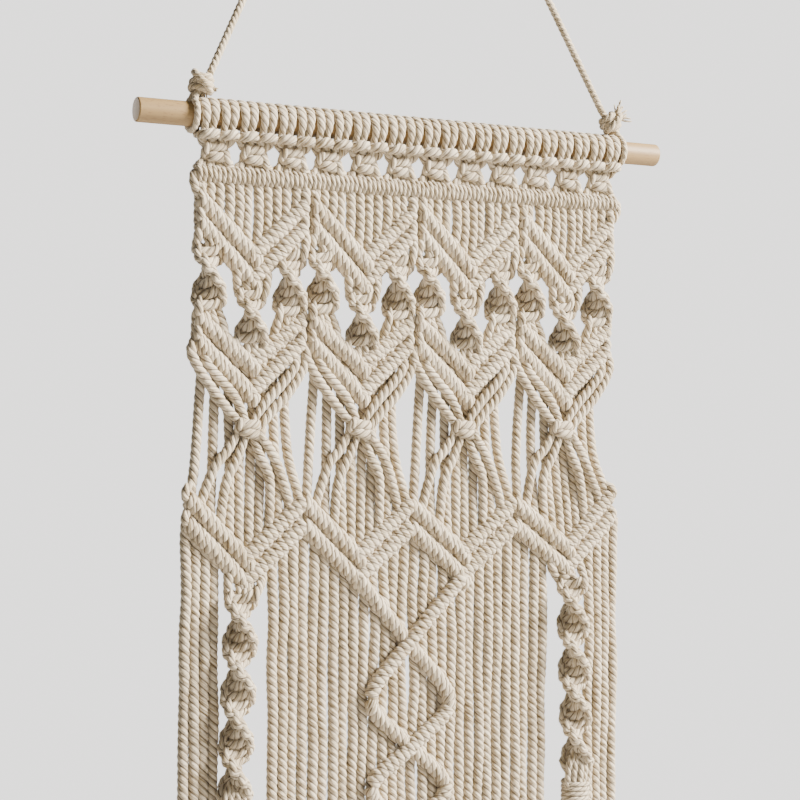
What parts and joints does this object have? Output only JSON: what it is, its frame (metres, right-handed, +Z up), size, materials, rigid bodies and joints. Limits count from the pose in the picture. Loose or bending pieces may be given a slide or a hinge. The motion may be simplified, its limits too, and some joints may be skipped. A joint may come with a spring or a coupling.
{
  "type": "macrame wall hanging on a wooden dowel",
  "caption": "Knotted cotton wall hanging on a round wooden dowel, with chevrons and zigzags of diagonal hitches, half-knot twists, a lattice and a long fringe.",
  "frame": {"origin": "the underside of the top of the hanging cord's loop, where it rests on its hook", "axes": "+Z up, +X along the dowel to the viewer's right, -Y out of the front, the wall behind at +Y"},
  "size_m": [0.35, 0.0224, 0.8436],
  "materials": {
    "cord_cotton": "natural unbleached three-ply twisted cotton cord, matte",
    "hanging_cord_cotton": "the same cotton in a thinner twisted cord, matte",
    "dowel_beech": "plain sanded beech, no varnish"
  },
  "bodies": {
    "root": {"cord_rows": "cord_cotton", "dowel": "dowel_beech", "falling_cords_1": "cord_cotton", "falling_cords_2": "cord_cotton", "falling_cords_3": "cord_cotton", "falling_cords_4": "cord_cotton", "fringe_left": "cord_cotton", "fringe_middle": "cord_cotton", "fringe_right": "cord_cotton", "gathering_knot_1": "cord_cotton", "gathering_knot_2": "cord_cotton", "gathering_knot_3": "cord_cotton", "gathering_knot_4": "cord_cotton", "hanging_cord_left": "hanging_cord_cotton", "hanging_cord_right": "hanging_cord_cotton", "hanging_knot_left": "hanging_cord_cotton", "hanging_knot_right": "hanging_cord_cotton", "hanging_loop": "hanging_cord_cotton", "hitch_bar": "cord_cotton", "larks_head_heading": "cord_cotton", "lattice": "cord_cotton", "long_twist_left": "cord_cotton", "long_twist_right": "cord_cotton", "lower_chevron_1": "cord_cotton", "lower_chevron_2": "cord_cotton", "lower_chevron_3": "cord_cotton", "lower_chevron_4": "cord_cotton", "short_twist_1_left": "cord_cotton", "short_twist_1_right": "cord_cotton", "short_twist_1_tip": "cord_cotton", "short_twist_2_left": "cord_cotton", "short_twist_2_right": "cord_cotton", "short_twist_2_tip": "cord_cotton", "short_twist_3_left": "cord_cotton", "short_twist_3_right": "cord_cotton", "short_twist_3_tip": "cord_cotton", "short_twist_4_left": "cord_cotton", "short_twist_4_right": "cord_cotton", "short_twist_4_tip": "cord_cotton", "square_knot_01": "cord_cotton", "square_knot_02": "cord_cotton", "square_knot_03": "cord_cotton", "square_knot_04": "cord_cotton", "square_knot_05": "cord_cotton", "square_knot_06": "cord_cotton", "square_knot_07": "cord_cotton", "square_knot_08": "cord_cotton", "square_knot_09": "cord_cotton", "square_knot_10": "cord_cotton", "square_knot_11": "cord_cotton", "square_knot_12": "cord_cotton", "tassel_left": "cord_cotton", "tassel_right": "cord_cotton", "upper_chevron_1": "cord_cotton", "upper_chevron_2": "cord_cotton", "upper_chevron_3": "cord_cotton", "upper_chevron_4": "cord_cotton", "wrapped_knot_left": "cord_cotton", "wrapped_knot_right": "cord_cotton", "zigzag": "cord_cotton"}
  },
  "joints": []
}
